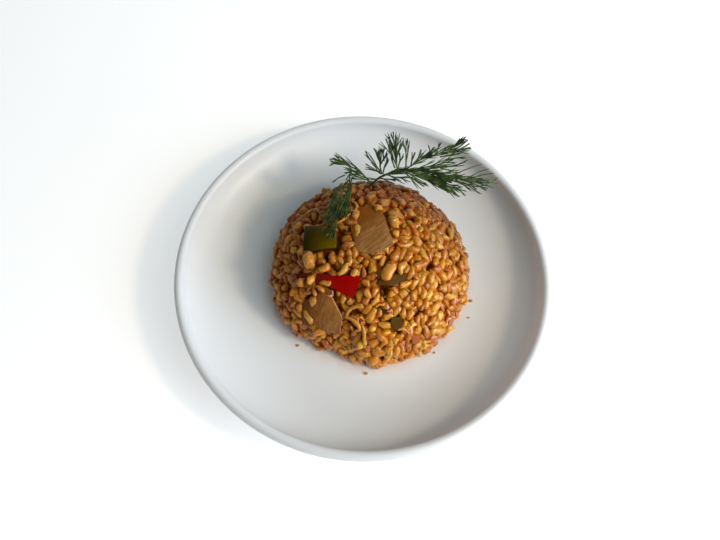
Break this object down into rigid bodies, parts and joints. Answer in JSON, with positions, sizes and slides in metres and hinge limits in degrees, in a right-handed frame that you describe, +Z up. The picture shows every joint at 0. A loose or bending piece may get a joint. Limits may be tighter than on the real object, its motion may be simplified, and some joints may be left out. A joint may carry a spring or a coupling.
{
  "type": "bulgur pilaf on a plate",
  "caption": "Dome of bulgur pilaf with onion, pepper and tomato pieces and a sprig of dill, on its round white coupe plate.",
  "frame": {"origin": "centre of the plate's foot ring, on the surface that the plate stands on", "axes": "+Z up out of the plate, -Y towards the diner"},
  "size_m": [0.21, 0.21, 0.0732],
  "materials": {
    "glaze": "glossy white glaze",
    "bulgur": "moist and oily cooked grain",
    "onion": "moist translucent cooked onion",
    "green_pepper": "moist cooked pepper skin",
    "red_pepper": "moist cooked pepper skin",
    "tomato": "moist cooked tomato flesh",
    "dill": "fresh leaf, slightly waxy"
  },
  "bodies": {
    "root": {"plate": "glaze", "bulgur": "bulgur", "onion_upper": "onion", "onion_lower": "onion", "onion_bit": "onion", "green_pepper": "green_pepper", "green_pepper_slice": "green_pepper", "green_pepper_bit": "green_pepper", "green_pepper_crumb": "green_pepper", "red_pepper": "red_pepper", "tomato_front": "tomato", "tomato_side": "tomato", "dill": "dill"}
  },
  "joints": []
}
